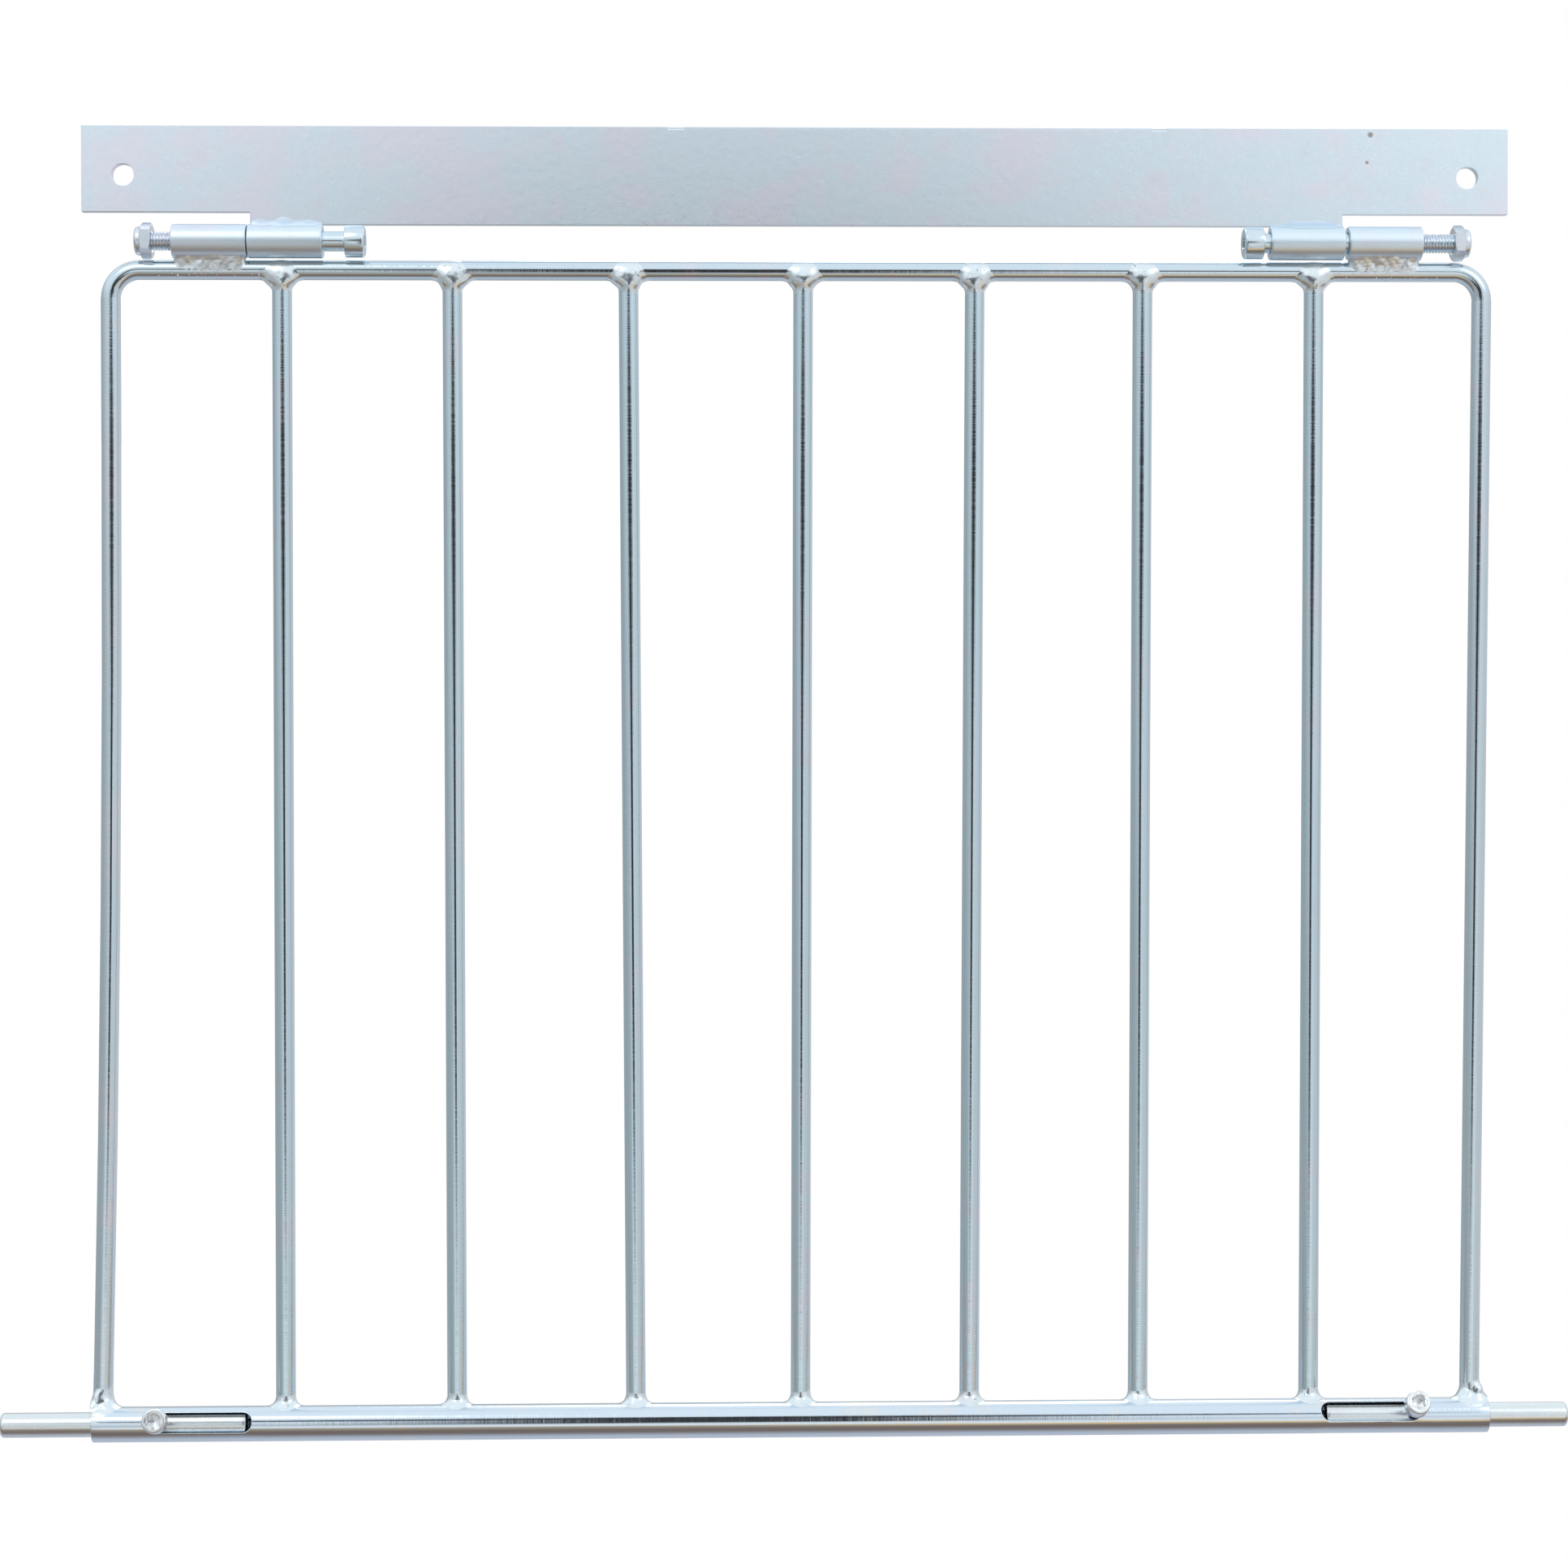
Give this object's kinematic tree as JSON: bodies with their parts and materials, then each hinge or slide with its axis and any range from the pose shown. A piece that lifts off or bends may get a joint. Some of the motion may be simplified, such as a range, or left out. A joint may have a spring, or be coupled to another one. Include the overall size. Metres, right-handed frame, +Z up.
{
  "type": "livestock panel gate",
  "caption": "Swing-up barred pen gate on a screw-on strip: welded bar panel on loose-pinned knuckle hinges, locked by sliding round bolts with screw knobs in the slotted bottom tube.",
  "frame": {"origin": "midway between the two fixing holes, on the back face of the mounting strip", "axes": "+X along the strip, +Y out of the strip's back face towards what it is fixed to, +Z up"},
  "size_m": [0.641, 0.0263, 0.536],
  "materials": {
    "strip_zinc": "satin bright-zinc plated flat bar",
    "bar_zinc": "glossy bright-zinc plated round bar",
    "tube_zinc": "glossy bright-zinc plated tube",
    "bolt_zinc": "bright-zinc plated drawn rod",
    "fastener_zinc": "blue-passivated zinc plated fastener",
    "weld_zinc": "zinc plated weld bead",
    "nylon": "natural nylon"
  },
  "bodies": {
    "strip": {"mounting_strip": "strip_zinc", "strip_knuckle_left": "tube_zinc", "strip_knuckle_right": "tube_zinc", "strip_weld_left": "weld_zinc", "strip_weld_right": "weld_zinc"},
    "gate": {"gate_hoop": "bar_zinc", "infill_bar_1": "bar_zinc", "infill_bar_2": "bar_zinc", "infill_bar_3": "bar_zinc", "infill_bar_4": "bar_zinc", "infill_bar_5": "bar_zinc", "infill_bar_6": "bar_zinc", "infill_bar_7": "bar_zinc", "bottom_tube": "tube_zinc", "gate_knuckle_left": "tube_zinc", "gate_knuckle_right": "tube_zinc", "knuckle_weld_left": "weld_zinc", "knuckle_weld_right": "weld_zinc", "rail_welds": "weld_zinc", "tube_welds": "weld_zinc"},
    "hinge_pin_left": {"hinge_screw_left": "fastener_zinc", "lock_nut_left": "fastener_zinc", "nut_ring_left": "nylon"},
    "hinge_pin_right": {"hinge_screw_right": "fastener_zinc", "lock_nut_right": "fastener_zinc", "nut_ring_right": "nylon"},
    "bolt_left": {"slide_bolt_left": "bolt_zinc", "knob_screw_left": "fastener_zinc"},
    "bolt_right": {"slide_bolt_right": "bolt_zinc", "knob_screw_right": "fastener_zinc"}
  },
  "joints": [
    {"name": "gate_swing", "type": "hinge", "parent": "strip", "child": "gate", "pos_m": [0, -0.00685, -0.0275], "axis": [-1, 0, 0], "range_deg": [-85, 165]},
    {"name": "pin_float_left", "type": "slide", "parent": "strip", "child": "hinge_pin_left", "axis": [1, 0, 0], "range_m": [-0.0089, 0.0079]},
    {"name": "pin_float_right", "type": "slide", "parent": "strip", "child": "hinge_pin_right", "axis": [1, 0, 0], "range_m": [-0.0128, 0.0027]},
    {"name": "bolt_slide_left", "type": "slide", "parent": "gate", "child": "bolt_left", "axis": [1, 0, 0], "range_m": [0, 0.0346]},
    {"name": "bolt_slide_right", "type": "slide", "parent": "gate", "child": "bolt_right", "axis": [-1, 0, 0], "range_m": [0, 0.0346]}
  ]
}
